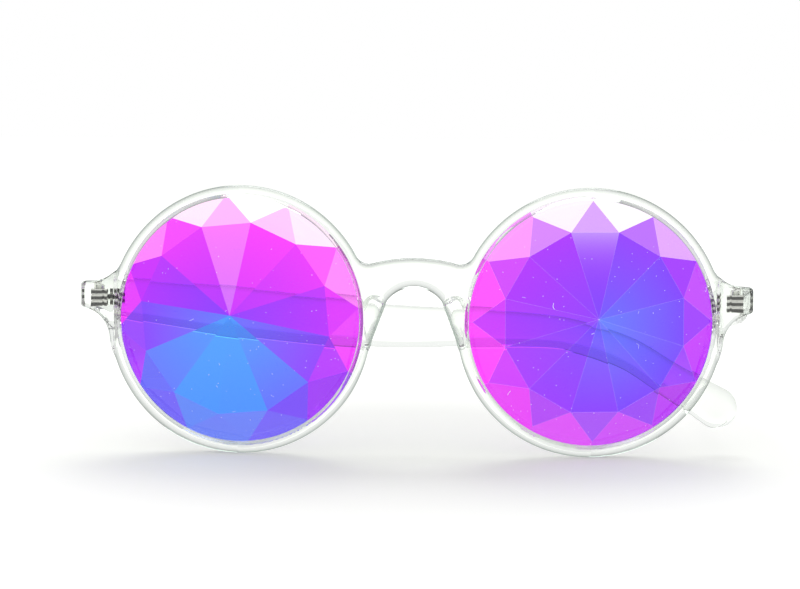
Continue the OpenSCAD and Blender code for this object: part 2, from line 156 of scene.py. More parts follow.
def face_outward(me):
    bm = bmesh.new()
    bm.from_mesh(me)
    bmesh.ops.recalc_face_normals(bm, faces=bm.faces)
    if bm.calc_volume(signed=True) < 0:
        bmesh.ops.reverse_faces(bm, faces=bm.faces)
    bm.to_mesh(me)
    bm.free()


def points_of(me):
    co = np.empty(len(me.vertices) * 3, np.float32)
    me.vertices.foreach_get("co", co)
    return co.reshape(-1, 3).astype(float)


def move_points(me, co):
    me.vertices.foreach_set("co", co.astype(np.float32).ravel())
    me.update()


def store(me, name, values, domain="POINT"):
    """One number for every point or corner of a mesh, kept under a name."""
    me.attributes.new(name, "FLOAT", domain).data.foreach_set("value", values)


def baked(ob):
    """The object's modifiers turned into a plain mesh."""
    new = bpy.data.meshes.new_from_object(ob.evaluated_get(bpy.context.evaluated_depsgraph_get()))
    ob.modifiers.clear()
    ob.data = new
    return ob


def cut_away(ob, cutter):
    mod = ob.modifiers.new("cut", "BOOLEAN")
    mod.operation, mod.solver, mod.object = "DIFFERENCE", "EXACT", cutter
    baked(ob)
    bpy.data.objects.remove(cutter)


def geometry_tree(name, sizes):
    """An empty geometry node tree with named inputs; sizes maps each name to its socket type."""
    tree = bpy.data.node_groups.new(name, "GeometryNodeTree")
    tree.interface.new_socket("Geometry", in_out="INPUT", socket_type="NodeSocketGeometry")
    for label, kind in sizes.items():
        tree.interface.new_socket(label, in_out="INPUT", socket_type=kind)
    tree.interface.new_socket("Geometry", in_out="OUTPUT", socket_type="NodeSocketGeometry")
    return tree, tree.nodes.new("NodeGroupInput").outputs, tree.nodes.new("NodeGroupOutput")


def finish_tree(tree, last, out, finish):
    real = first(tree, "GeometryNodeRealizeInstances", {"Geometry": last})
    done = first(tree, "GeometryNodeSetMaterial", {"Geometry": real, "Material": finish})
    tree.links.new(done, out.inputs[0])


def run_tree(ob, tree, values):
    """Set the modifier's inputs by socket identifier, run the tree and keep the plain mesh."""
    mod = ob.modifiers.new(tree.name, "NODES")
    mod.node_group = tree
    for item in tree.interface.items_tree:
        if item.in_out == "INPUT" and item.name in values:
            mod[item.identifier] = values[item.name]
    ob.update_tag()
    return baked(ob)


# Front frame, from distances to its outline
def round_union(a, b, r):
    return np.maximum(r, np.minimum(a, b)) - np.hypot(np.maximum(r - a, 0), np.maximum(r - b, 0))


def round_cut(a, b, r):
    return -round_union(-a, -b, r)


def thick(d, t, half, r):
    """A flat outline d made 2 * half thick about t = 0, with its edges rounded by r."""
    d, w = d + r, np.abs(t) - (half - r)
    return np.minimum(np.maximum(d, w), 0) + np.hypot(np.maximum(d, 0), np.maximum(w, 0)) - r


def bar(x, z, hx, hz, r):
    qx, qz = np.abs(x) - hx + r, np.abs(z) - hz + r
    return np.minimum(np.maximum(qx, qz), 0) + np.hypot(np.maximum(qx, 0), np.maximum(qz, 0)) - r


def crossing(p, rp, q, rq):
    """Where the circles of radius rp about p and rq about q cross, on the left of the way from p to q."""
    way = np.subtract(q, p)
    d = math.hypot(*way)
    along = (rp * rp - rq * rq + d * d) / (2 * d)
    aside = math.sqrt(rp * rp - along * along)
    return np.array(p) + way * along / d + np.array([-way[1], way[0]]) / d * aside


def hollow(x, z, joined, centre, r, toward_a, toward_b):
    """Between the two directions from its centre, a hollow of radius r replaces the plain joint."""
    vx, vz = x - centre[0], z - centre[1]
    turn = toward_a[0] * toward_b[1] - toward_a[1] * toward_b[0]
    from_a = (toward_a[0] * vz - toward_a[1] * vx) * turn > 0
    to_b = (vx * toward_b[1] - vz * toward_b[0]) * turn > 0
    return np.where(from_a & to_b, r - np.hypot(vx, vz), joined)


def unwrap(x, y):
    """From the curved front to the flat one, through a smooth bend on each side of the flat middle."""
    soft = 3.0
    bend_x, bend_r = FLAT - soft, soft / math.tan(WRAP / 2)
    angle = np.clip(np.arctan2(x - bend_x, bend_r - y), 0, WRAP)
    dx, dy, c, s = x - bend_x, y - bend_r, np.cos(angle), np.sin(angle)
    return bend_x + c * dx + s * dy + bend_r * angle, c * dy - s * dx + bend_r


LENS_C = (LENS_X, 0.0)
ARCH_C = (0.0, BRIDGE_TOP - ARCH_R)
BLEND_C = crossing(ARCH_C, ARCH_R + BLEND_R, LENS_C, RIM_R + BLEND_R)
END_TOP, END_LOW = END_Z + END_H / 2, END_Z - END_H / 2
TOP_C = (LENS_X + math.sqrt((RIM_R + END_TOP_R) ** 2 - (END_TOP + END_TOP_R) ** 2), END_TOP + END_TOP_R)
LOW_C = (LENS_X + math.sqrt((RIM_R + END_LOW_R) ** 2 - (END_LOW - END_LOW_R) ** 2), END_LOW - END_LOW_R)
# The front's outer edges are rounder than the solid's, and its end pieces end just inside the solid's
SOFT_ROUND, END_INSET = 1.6, 0.09
# The round hole before the lens seat is cut
ROUGH_HOLE_R = LENS_R - 1.2
# End pieces: where their backs start inside the rims, half their depth before they are cut flat for the
# hinges, and the roundings of the slope, the edges, the flat faces and the joint with the rims
END_ROOT, END_HALF = LENS_X + RIM_R - 1.2, 4.0
SLOPE_R, END_EASE, FACE_R, END_BLEND = 0.6, 0.5, 0.25, 0.5
# Nose pads: where the fin's lean starts, how far behind that the fin starts, the corners of its outline, the
# rounding of its edges and the hollow where it leaves the front
PAD_ROOT, PAD_START, PAD_CORNER, PAD_EASE, PAD_BLEND = RIM_T - 1.4, 0.6, 0.32 * PAD_H, PAD_R - 0.1, 1.4


def nose_fin(x, y, z):
    """A nose pad: a fin along the side of the nose opening that leans outward as it goes back."""
    c, s = math.cos(FLARE), math.sin(FLARE)
    mx = (NOSE_R + PAD_R) * c + PAD_ALONG * s
    mz = (NOSE_R + PAD_R) * s - PAD_ALONG * c
    across, up = (x - mx) * c + (z - mz) * s, (z - mz) * c - (x - mx) * s
    lean = math.atan2(PAD_FLARE, PAD_REACH - PAD_R - PAD_ROOT)
    off = across * math.cos(lean) - (y - PAD_ROOT) * math.sin(lean)
    low, high = PAD_ROOT - PAD_CORNER, PAD_REACH
    outline = bar(y - (low + high) / 2, up, (high - low) / 2, PAD_H / 2, PAD_CORNER)
    return np.maximum(thick(outline, off, PAD_R, PAD_EASE), PAD_ROOT + PAD_START - y)


def front_field(p):
    """Distance to the front's skin, negative inside, before the lens seats are cut."""
    x, y, z = np.abs(p[:, 0]), p[:, 1], p[:, 2]
    lx, ly = unwrap(x, y)
    r = np.hypot(lx - LENS_X, z)
    disc = r - RIM_R
    arch = np.hypot(lx, z - ARCH_C[1]) - ARCH_R
    beam = np.maximum(np.maximum(arch, lx - LENS_X), -NOSE_R - z)
    joined = np.minimum(beam, disc)
    blended = hollow(lx, z, joined, BLEND_C, BLEND_R, ARCH_C - BLEND_C, LENS_C - BLEND_C)
    plate = np.where(z > 0, blended, joined)
    beside = z * math.cos(FLARE) - lx * math.sin(FLARE) < 0
    nose = np.where(beside, lx * math.cos(FLARE) + z * math.sin(FLARE), np.hypot(lx, z)) - NOSE_R
    outline = np.minimum(np.maximum(plate, -nose), disc)
    strip = np.minimum(np.abs(z - END_Z) - END_H / 2, disc)
    upper = hollow(lx, z, strip, TOP_C, END_TOP_R, np.subtract(LENS_C, TOP_C), (0.0, -1.0))
    lower = hollow(lx, z, strip, LOW_C, END_LOW_R, np.subtract(LENS_C, LOW_C), (0.0, 1.0))
    end = np.where(lx > LENS_X, np.where(z > END_Z, upper, lower), disc)
    end = round_cut(end, lx - END_X + END_INSET, END_CORNER)
    outline = np.minimum(outline, end)
    d = thick(np.maximum(outline, ROUGH_HOLE_R - r), ly - RIM_T / 2, RIM_T / 2, SOFT_ROUND)
    slope = END_ROOT - lx + np.maximum(ly - RIM_T, 0)
    deep = thick(round_cut(end, slope, SLOPE_R), ly - END_HALF, END_HALF, END_EASE)
    d = round_union(d, round_cut(deep, y - END_BACK, FACE_R), END_BLEND)
    return round_union(d, nose_fin(x, y, z), PAD_BLEND)


def skin_of(field, lo, hi, step):
    """A quad mesh on field = 0, its points moved onto the surface along the field's slope."""
    axes = [np.arange(a, b + step, step) for a, b in zip(lo, hi)]
    n = [len(a) for a in axes]
    vals = np.empty(n, np.float32)
    yz = np.stack(np.meshgrid(axes[1], axes[2], indexing="ij"), -1).reshape(-1, 2)
    for i, xv in enumerate(axes[0]):
        vals[i] = field(np.column_stack([np.full(len(yz), xv), yz])).reshape(n[1], n[2])
    inside = vals < 0
    # One point in every cell that the surface crosses, at the mean of its crossings of the cell's edges
    count = sum(inside[a:n[0] - 1 + a, b:n[1] - 1 + b, c:n[2] - 1 + c].astype(np.int8)
                for a in (0, 1) for b in (0, 1) for c in (0, 1))
    active = (count > 0) & (count < 8)
    cells = np.argwhere(active)
    index = np.full(active.shape, -1, np.int64)
    index[active] = np.arange(len(cells))
    total, hits = np.zeros((len(cells), 3)), np.zeros(len(cells))
    for axis in range(3):
        others = [k for k in range(3) if k != axis]
        for a, b in ((0, 0), (0, 1), (1, 0), (1, 1)):
            start = np.zeros(3, int)
            start[others] = a, b
            stop = start.copy()
            stop[axis] = 1
            p0, p1 = cells + start, cells + stop
            v0, v1 = vals[tuple(p0.T)], vals[tuple(p1.T)]
            cross = (v0 < 0) != (v1 < 0)
            share = np.where(cross, v0 / np.where(cross, v0 - v1, 1), 0)
            total[cross] += (p0 + (p1 - p0) * share[:, None])[cross]
            hits += cross
    pts = np.array([a[0] for a in axes]) + total / hits[:, None] * step
    # One quad round every grid edge that the surface crosses
    quads = []
    for axis in range(3):
        near, far = [slice(1, -1)] * 3, [slice(1, -1)] * 3
        near[axis], far[axis] = slice(0, -1), slice(1, None)
        edge = np.argwhere(inside[tuple(near)] != inside[tuple(far)])
        flip = inside[tuple(far)][tuple(edge.T)]
        base = edge + 1
        base[:, axis] -= 1
        du, dv = np.eye(3, dtype=int)[[(axis + 1) % 3, (axis + 2) % 3]]
        q = np.stack([index[tuple((base - k).T)] for k in (du + dv, dv, 0 * du, du)], 1)
        q[flip] = q[flip][:, ::-1]
        quads.append(q)
    # The points moved onto the surface, in three rounds
    nudge, flattest = 0.01, 0.2
    for _ in range(3):
        rise = [field(pts + nudge * e) - field(pts - nudge * e) for e in np.eye(3)]
        slope = np.stack(rise, 1) / (2 * nudge)
        slope /= np.maximum((slope ** 2).sum(1, keepdims=True), flattest)
        pts = pts - np.clip(field(pts), -step, step)[:, None] * slope
    return pts, np.concatenate(quads)


# Straight steps in a full turn of the lens seats and the lenses
ROUND_STEPS = 288


def lens_seat_cutter(side):
    """The round opening with its eased edges and the groove for the lens, turned about the lens axis."""
    from_angle, lead_in, past_front, past_back = 20, 0.3, 1.0, 0.5
    ease = [(LENS_R + RIM_ROUND * (1 - math.sin(a)), RIM_ROUND * (1 - math.cos(a)))
            for a in np.radians(range(from_angle, 91, 14))]
    ease.insert(0, (ease[0][0] + lead_in, ease[0][1] - lead_in * math.tan(math.radians(from_angle))))
    groove = [(LENS_R, GROOVE_IN), (GROOVE_R, GROOVE_IN), (GROOVE_R, BACK_Y + FIT), (LENS_R, BACK_Y + FIT)]
    out_r, back_ease = ease[0][0], [(r, RIM_T - y) for r, y in ease[::-1]]
    profile = [(out_r, -past_front)] + ease + groove + back_ease + [(out_r, RIM_T + past_back)]
    n, m = ROUND_STEPS, len(profile)
    turns = np.arange(n) * 2 * math.pi / n
    verts = [(r * math.cos(a), y, r * math.sin(a)) for a in turns for r, y in profile]
    faces = [(i * m + k, i * m + k + 1, (i + 1) % n * m + k + 1, (i + 1) % n * m + k)
             for i in range(n) for k in range(m - 1)]
    faces += [tuple(i * m for i in range(n)), tuple(i * m + m - 1 for i in range(n))[::-1]]
    ob = mesh_object("lens_seat", verts, faces)
    move_points(ob.data, standing(wrapped(points_of(ob.data), side)))
    face_outward(ob.data)
    return ob


# The grey-green tint and painted shade fade out by these distances round the lens seats, and behind the
# rims for the nose pads
SEAT_CLEAR, SEAT_FADE, PAD_CLEAR, PAD_FADE = 1.4, 0.6, 0.5, 1.5


def build_front():
    """The front with its lens seats; the faces of the nose pads take its second material."""
    step = 0.36
    room, room_y = 0.8, 0.9
    low = (-FRONT_HALF - room, -room_y, -RIM_R - room)
    high = (FRONT_HALF + room, END_BACK + room_y, RIM_R + room)
    pts, quads = skin_of(front_field, low, high, step)
    ob = mesh_object("front_shell", standing(pts), quads)
    face_outward(ob.data)
    for side in (-1, 1):
        cut_away(ob, lens_seat_cutter(side))
    face_outward(ob.data)
    ob.data.shade_smooth()
    ob.data.set_sharp_from_angle(angle=math.radians(40))
    own = lying(points_of(ob.data))
    lx, _ = unwrap(np.abs(own[:, 0]), own[:, 1])
    r = np.hypot(lx - LENS_X, own[:, 2])
    seat = np.clip((LENS_R + SEAT_CLEAR - r) / SEAT_FADE, 0, 1)
    pads = np.clip((own[:, 1] - RIM_T + PAD_CLEAR) / PAD_FADE, 0, 1) * (np.abs(own[:, 0]) < LENS_X)
    # Where the painted grey-green shade fades out: round the lens seats and on the nose pads
    store(ob.data, "free_of_cast", np.maximum(seat, pads))
    for poly in ob.data.polygons:
        poly.material_index = int(pads[poly.vertices[0]] > 0.5)
    return ob


# Temples, swept along their middle line
def station(s):
    """The row of STATIONS at distance s, on a smooth curve through all of them."""
    k = STATIONS
    slopes = np.empty_like(k)
    slopes[0] = (k[1] - k[0]) / (k[1, 0] - k[0, 0])
    slopes[-1] = (k[-1] - k[-2]) / (k[-1, 0] - k[-2, 0])
    slopes[1:-1] = (k[2:] - k[:-2]) / (k[2:, :1] - k[:-2, :1])
    i = int(np.clip(np.searchsorted(k[:, 0], s) - 1, 0, len(k) - 2))
    w = k[i + 1, 0] - k[i, 0]
    t = (s - k[i, 0]) / w
    return k[i] * (2 * t ** 3 - 3 * t ** 2 + 1) + slopes[i] * w * (t ** 3 - 2 * t ** 2 + t) \
        + k[i + 1] * (3 * t ** 2 - 2 * t ** 3) + slopes[i + 1] * w * (t ** 3 - t ** 2)


# The round end stops just inside the solid's, and the temples are nearly free of the grey-green tint and
# painted shade
TIP_INSET, ARM_CLEAR = 0.03, 0.85


def temple_rings():
    """For each section: its distance, the height of its middle, its tilt, half height and half thickness."""
    ease, ahead, sections, butt, rings = 0.3, 0.01, 150, station(BUTT_S), []
    for k in np.radians((0, 30, 60)):
        c = ease * (1 - math.sin(k))
        rings.append((BUTT_S + ease * (1 - math.cos(k)), butt[1], 0.0, butt[2] / 2 - c, TEMPLE_T / 2 - c))
    for s in np.linspace(BUTT_S + ease, TIP_S, sections):
        at, near = station(s), station(s + ahead)
        tilt = math.atan2(near[1] - at[1], ahead) * min(1, (s - BUTT_S) / SHOULDER_L)
        rings.append((s, at[1], tilt, at[2] / 2, TEMPLE_T / 2))
    for b in np.radians([*range(8, 88, 8), 86]):
        out = (TIP_D / 2 - TIP_INSET) * math.sin(b)
        rings.append((TIP_S + out * math.cos(EAR_SLOPE), TIP_Z - out * math.sin(EAR_SLOPE), -EAR_SLOPE,
                      TIP_D / 2 * math.cos(b), TEMPLE_T / 4 * (1 + math.cos(b))))
    return rings


def sweep_tree():
    """Sweep a softly squared section along the path; height and thickness come with the path's points."""
    tree, given, out = geometry_tree("temple_sweep", {
        "Points Round": "NodeSocketInt", "Squareness": "NodeSocketFloat", "Finish": "NodeSocketMaterial"})

    def named(name, kind="FLOAT"):
        return first(tree, "GeometryNodeInputNamedAttribute", {"Name": name}, data_type=kind)

    def vector_math(operation, a, b):
        return first(tree, "ShaderNodeVectorMath", {0: a, "Scale" if operation == "SCALE" else 1: b},
                     operation=operation)

    path = first(tree, "GeometryNodeMeshToCurve", {"Mesh": given["Geometry"]})
    ring = first(tree, "GeometryNodeCurvePrimitiveCircle", {
        "Resolution": given["Points Round"], "Radius": 1.0})
    place = add(tree, "ShaderNodeSeparateXYZ", {0: first(tree, "GeometryNodeInputPosition")}).outputs
    for name, axis in (("across", place[0]), ("up", place[1])):
        grown = math_of(tree, "POWER", math_of(tree, "ABSOLUTE", axis), given["Squareness"])
        value = math_of(tree, "MULTIPLY", grown, math_of(tree, "SIGN", axis))
        ring = first(tree, "GeometryNodeStoreNamedAttribute", {
            "Geometry": ring, "Name": name, "Value": value}, data_type="FLOAT", domain="POINT")
    tube = first(tree, "GeometryNodeCurveToMesh", {"Curve": path, "Profile Curve": ring, "Fill Caps": True})
    wide = math_of(tree, "MULTIPLY", named("across"), named("half_thick"))
    tall = math_of(tree, "MULTIPLY", named("up"), named("half_height"))
    sideways = first(tree, "ShaderNodeCombineXYZ", {0: wide})
    upward = vector_math("SCALE", named("upward", "FLOAT_VECTOR"), tall)
    offset = vector_math("ADD", sideways, upward)
    spot = vector_math("ADD", named("spine", "FLOAT_VECTOR"), offset)
    tube = first(tree, "GeometryNodeSetPosition", {"Geometry": tube, "Position": spot})
    finish_tree(tree, tube, out, given["Finish"])
    return tree


def barrel_room():
    """A bar about the pin, wider than the knuckles, that cuts their room out of a temple."""
    radius = KNUCKLE_R + SWING_ROOM
    bm = bmesh.new()
    bmesh.ops.create_cone(bm, cap_ends=True, segments=64, radius1=radius, radius2=radius, depth=40)
    bar_mesh = bpy.data.meshes.new("barrel_room")
    bm.to_mesh(bar_mesh)
    bm.free()
    return new_object("barrel_room", bar_mesh)


def build_temple(name, side, fold, tree, finish):
    """A temple on its pin, left or right by side, and folded by the given angle."""
    rings = temple_rings()
    spine = np.array([(PIN_IN + TEMPLE_T / 2, s, z) for s, z, *_ in rings])
    path = mesh_object(name, spine, [], [(i, i + 1) for i in range(len(rings) - 1)])
    upward = np.array([(0, -math.sin(t), math.cos(t)) for _, _, t, _, _ in rings])
    for label, values in (("spine", spine), ("upward", upward)):
        path.data.attributes.new(label, "FLOAT_VECTOR", "POINT").data.foreach_set("vector", values.ravel())
    for label, k in (("half_height", 3), ("half_thick", 4)):
        store(path.data, label, [ring[k] for ring in rings])
    ob = run_tree(path, tree, {"Points Round": 56, "Squareness": 0.6, "Finish": finish})
    face_outward(ob.data)
    cut_away(ob, barrel_room())
    v = points_of(ob.data)
    c, s = math.cos(fold), math.sin(fold)
    out, back = PIN_X + v[:, 0] * c - v[:, 1] * s, PIN_Y + v[:, 0] * s + v[:, 1] * c
    move_points(ob.data, standing(np.stack([side * out, back, v[:, 2]], 1)))
    face_outward(ob.data)
    ob.data.shade_smooth()
    ob.data.set_sharp_from_angle(angle=math.radians(35))
    # The temples take only a little of the painted grey-green shade
    store(ob.data, "free_of_cast", np.full(len(v), ARM_CLEAR))
    return ob


# Lenses: a repeated facet sector, cut round
STEP = 2 * math.pi / FACETS


def sector_points(spec):
    """Corners of one facet sector, from the ring corner at turn to the next one."""
    fall = (RING_RISE + EDGE_T - EDGE_LEFT) / (EDGE_R + math.hypot(CUT_OUT, CUT_UP) - spec["ring"])
    star_h = RING_RISE - fall * (spec["star"] * math.cos(STEP / 2) - spec["ring"])
    brim_r, brim_h = spec["star"] + SKIRT, star_h - fall * math.cos(STEP / 2) * SKIRT
    turn = math.radians(spec["turn"] if spec["side"] > 0 else 180 - spec["turn"])

    def corner(r, h, i):
        return (r * math.cos(turn + i * STEP), EDGE_Y - h, r * math.sin(turn + i * STEP))

    ring = [corner(spec["ring"], RING_RISE, i) for i in (0, 1)]
    outer = [corner(r, h, i) for r, h in ((spec["star"], star_h), (brim_r, brim_h), (brim_r, EDGE_Y - BACK_Y))
             for i in (-0.5, 0.5)]
    return [(0, EDGE_Y - POINT_RISE, 0)] + ring + outer + [(0, BACK_Y, 0)]


WEDGE, STAR, GAP = (0, 1, 2), (1, 4, 2), (1, 3, 5, 6, 4)
SECTOR_FACES = [WEDGE, STAR, GAP, (5, 7, 8, 6), (7, 9, 8)]


def lens_tree():
    """Repeat the facet sector, set the middle point aside, and cut the lens round with its thin edge."""
    tree, given, out = geometry_tree("faceted_lens", {
        "Facets": "NodeSocketInt", "Point Shift": "NodeSocketVector", "Cut Shift": "NodeSocketVector",
        "Lens Radius": "NodeSocketFloat", "Edge Radius": "NodeSocketFloat", "Edge Middle": "NodeSocketVector",
        "Edge Thickness": "NodeSocketFloat", "Finish": "NodeSocketMaterial"})
    step = math_of(tree, "DIVIDE", -2 * math.pi, given["Facets"])
    turn = math_of(tree, "MULTIPLY", first(tree, "GeometryNodeInputIndex"), step)
    spots = first(tree, "GeometryNodePoints", {"Count": given["Facets"]})
    round_y = first(tree, "ShaderNodeCombineXYZ", {1: turn})
    ring = first(tree, "GeometryNodeInstanceOnPoints", {
        "Points": spots, "Instance": given["Geometry"], "Rotation": round_y})
    ring = first(tree, "GeometryNodeRealizeInstances", {"Geometry": ring})
    ring = first(tree, "GeometryNodeMergeByDistance", {"Geometry": ring, "Distance": 0.002})
    place = add(tree, "ShaderNodeSeparateXYZ", {0: first(tree, "GeometryNodeInputPosition")}).outputs
    off_axis = math_of(tree, "ADD", math_of(tree, "ABSOLUTE", place[0]), math_of(tree, "ABSOLUTE", place[2]))
    on_axis = first(tree, "FunctionNodeCompare", {0: off_axis, 1: 0.1}, operation="LESS_THAN")
    in_front = first(tree, "FunctionNodeCompare", {0: place[1], 1: 0.0}, operation="LESS_THAN")
    point = first(tree, "FunctionNodeBooleanMath", {0: on_axis, 1: in_front})
    crown = first(tree, "GeometryNodeSetPosition", {
        "Geometry": ring, "Selection": point, "Offset": given["Point Shift"]})
    crown = first(tree, "GeometryNodeTransform", {"Geometry": crown, "Translation": given["Cut Shift"]})

    def disc(radius, depth, middle):
        body = first(tree, "GeometryNodeMeshCylinder", {
            "Vertices": ROUND_STEPS, "Radius": radius, "Depth": depth})
        return first(tree, "GeometryNodeTransform", {
            "Geometry": body, "Rotation": (math.pi / 2, 0, 0), "Translation": middle})

    inner = disc(given["Lens Radius"], 60.0, (0, 0, 0))
    edge = disc(given["Edge Radius"], given["Edge Thickness"], given["Edge Middle"])
    room = first(tree, "GeometryNodeMeshBoolean", {1: [inner, edge]}, operation="UNION", solver="EXACT")
    body = first(tree, "GeometryNodeMeshBoolean", {1: [crown, room]}, operation="INTERSECT", solver="EXACT")
    finish_tree(tree, body, out, given["Finish"])
    return tree


def srgb(*rgb):
    c = np.array(rgb, float) / 255
    return np.where(c <= 0.04045, c / 12.92, ((c + 0.055) / 1.055) ** 2.4)


# The coating's colours in the order that they take as the light's path through it grows
COATING = [srgb(255, 240, 240), srgb(255, 191, 236), srgb(255, 100, 248), srgb(250, 58, 253),
           srgb(216, 43, 252), srgb(165, 38, 250), srgb(112, 60, 252), srgb(64, 144, 252)]
# The lens's edge, seen through the rim, by which way it faces: a painted cyan fringe at its top, lavender at
# its foot
EDGE_TOP, EDGE_LOW = srgb(190, 246, 242), srgb(238, 230, 255)
# The painted pale sheen on the star and gap facets at the lens's foot, and its spread in degrees
LOW_SHEEN, LOW_SPREAD = 0.08, 45
# How fast the colours' step at the lens's middle fades outward
MIDDLE_FADE = 2.2
# How a kind of facet is coloured: the middle and swing of its place in the coating's row, the direction where
# that place is lowest, its change from the inner to the outer end, and the strength, direction and spread of
# the painted pale sheen
Look = namedtuple("Look", "middle swing lowest_at change sheen sheen_at spread")
# Each lens: its side, how far its ring and star corners are from the middle, its turn in degrees, the step of
# the colours' place at its middle, whether the wedges' painted sheen fades toward the middle, and its facets'
# looks
LEFT = {"side": -1, "ring": 19.85, "star": 25.3, "turn": 20.5, "middle_step": 0.4, "sheen_fades": False,
        "looks": {"wedge": Look(5.4, 1.75, 78, -0.5, 0.13, 96, 12),
                  "star": Look(4.8, 2.05, 72, -0.2, 0.62, 78, 28),
                  "gap": Look(3.6, 2.9, 80, 0.2, 1.0, 80, 42)}}
RIGHT = {"side": 1, "ring": 18.85, "star": 24.6, "turn": 15.5, "middle_step": 0.2, "sheen_fades": True,
         "looks": {"wedge": Look(5.65, 0.5, 160, -0.5, 0.9, 90, 12),
                   "star": Look(4.9, 0.5, 165, 0.0, 0.35, 95, 36),
                   "gap": Look(3.85, 0.85, 175, 0.2, 1.0, 88, 42)}}


def coating_colour(place):
    """The colour at a place along the coating's row, which may lie between two of its colours."""
    place = min(max(place, 0), len(COATING) - 1.001)
    i = int(place)
    return COATING[i] + (COATING[i + 1] - COATING[i]) * (place - i)


def facet_colour(spec, kind, azimuth, outward):
    """Colour and painted sheen at a facet's corner; azimuth as seen from the front, outward 1 at the rim."""
    look = spec["looks"][kind]
    turned = math.cos(math.radians(azimuth - look.lowest_at))
    place = look.middle - look.swing * turned + look.change * (outward - 0.5)
    place += spec["middle_step"] * max(0.0, 1 - outward * MIDDLE_FADE)
    off, below = ((azimuth - at + 180) % 360 - 180 for at in (look.sheen_at, -90))
    # Painted sheen: paler toward white about the sheen's direction, and a little at the foot
    pale = look.sheen * math.exp(-(off / look.spread) ** 2)
    if kind != "wedge":
        pale += LOW_SHEEN * math.exp(-(below / LOW_SPREAD) ** 2)
    return (*coating_colour(place), pale)


def facing_ways(spec):
    """For every facet of a lens: the way it faces, its kind, and its azimuth as seen from the front."""
    pts = [np.array(p) for p in sector_points(spec)]
    shift = np.array([POINT_OUT, 0, POINT_UP])
    facets = []
    for i in range(FACETS):
        c, s = math.cos(i * STEP), math.sin(i * STEP)
        turned = [np.array([p[0] * c - p[2] * s, p[1], p[0] * s + p[2] * c]) for p in pts]
        turned[0] = turned[0] + shift
        for kind, face in (("wedge", WEDGE), ("star", STAR), ("gap", GAP)):
            a, b, d = (turned[k] for k in face[:3])
            n = np.cross(b - a, d - a)
            n *= -np.sign(n[1]) / np.linalg.norm(n)
            mid = turned[1] if kind == "gap" else (turned[1] + turned[2]) / 2
            facets.append((n, kind, math.degrees(math.atan2(mid[2], mid[0] * spec["side"]))))
    return facets


# Two faces face the same way past this cosine, and a face that slopes less than this is the lens's edge
SAME_WAY, EDGE_SLOPE = 0.99999, 0.3
# The flats along the ridges: their width, and how much paler than the facets they are painted, as a highlight
RIDGE_W, RIDGE_PALE = 0.1, 0.25


def paint_facets(me, spec):
    """Store the coating's colour and painted sheen on every facet corner; a facet is known by the way it
    faces.
    """
    verts, facets = points_of(me), facing_ways(spec)
    normals = np.array([f[0] for f in facets])
    colours = np.ones((len(me.loops), 4), np.float32)
    reach = np.ones(len(me.loops), np.float32)
    for poly in me.polygons:
        n = np.array(poly.normal)
        # Painted colour fringe: the edge's colour follows which way it faces, cyan up and lavender down
        if abs(n[1]) < EDGE_SLOPE:
            colours[list(poly.loop_indices), :3] = EDGE_LOW + (EDGE_TOP - EDGE_LOW) * (n[2] + 1) / 2
        if n[1] > -EDGE_SLOPE:
            continue
        match = normals @ n
        k = int(match.argmax())
        ridge = match[k] < SAME_WAY
        if n[1] < -SAME_WAY and ridge:
            continue
        _, kind, azimuth = facets[k]
        for loop in poly.loop_indices:
            v = verts[me.loops[loop].vertex_index]
            outward = min(1.0, math.hypot(v[0] - CUT_OUT, v[2] - CUT_UP) / LENS_R)
            colours[loop] = facet_colour(spec, kind, azimuth, outward)
            # Painted highlight: the ridge flats are paler than their facets
            if ridge:
                colours[loop, :3] = colours[loop, :3] * (1 - RIDGE_PALE) + RIDGE_PALE
            if spec["sheen_fades"] and kind == "wedge":
                reach[loop] = outward
    me.attributes.new("coating", "FLOAT_COLOR", "CORNER").data.foreach_set("color", colours.ravel())
    store(me, "reach", reach, "CORNER")


def soften_ridges(me):
    """A narrow flat along every ridge between two facets, as polished glass has."""
    same_face, least_bend, least_length, steepest = math.radians(0.02), math.radians(0.5), 0.5, -0.6
    bm = bmesh.new()
    bm.from_mesh(me)
    bmesh.ops.dissolve_limit(bm, angle_limit=same_face, verts=bm.verts, edges=bm.edges)
    ridges = []
    for e in bm.edges:
        between = len(e.link_faces) == 2 and all(-SAME_WAY < f.normal.y < steepest for f in e.link_faces)
        if between and e.calc_face_angle() > least_bend and e.calc_length() > least_length:
            ridges.append(e)
    bmesh.ops.bevel(bm, geom=ridges, offset=RIDGE_W / 2, segments=1, affect="EDGES", clamp_overlap=True)
    bm.to_mesh(me)
    bm.free()


def build_lens(name, spec, tree, finish):
    ob = mesh_object(name, sector_points(spec), SECTOR_FACES)
    run_tree(ob, tree, {
        "Facets": FACETS, "Point Shift": (POINT_OUT, 0.0, POINT_UP), "Cut Shift": (CUT_OUT, 0.0, CUT_UP),
        "Lens Radius": LENS_R - FIT, "Edge Radius": EDGE_R, "Edge Middle": (0.0, (EDGE_Y + BACK_Y) / 2, 0.0),
        "Edge Thickness": EDGE_T, "Finish": finish})
    face_outward(ob.data)
    soften_ridges(ob.data)
    paint_facets(ob.data, spec)
    move_points(ob.data, standing(wrapped(points_of(ob.data), spec["side"])))
    face_outward(ob.data)
    ob.data.shade_flat()
    return ob


# Finishes
def new_material(name):
    m = bpy.data.materials.new(name)
    m.use_nodes = True
    m.node_tree.nodes.clear()
    return m, m.node_tree, add(m.node_tree, "ShaderNodeOutputMaterial")


def mix_colour(nt, factor, a, b, blend="MIX"):
    """The colour between a and b, each given as a value or as a socket."""
    mix = add(nt, "ShaderNodeMix", {"Factor": factor, 6: a, 7: b}, data_type="RGBA", blend_type=blend)
    return mix.outputs[2]


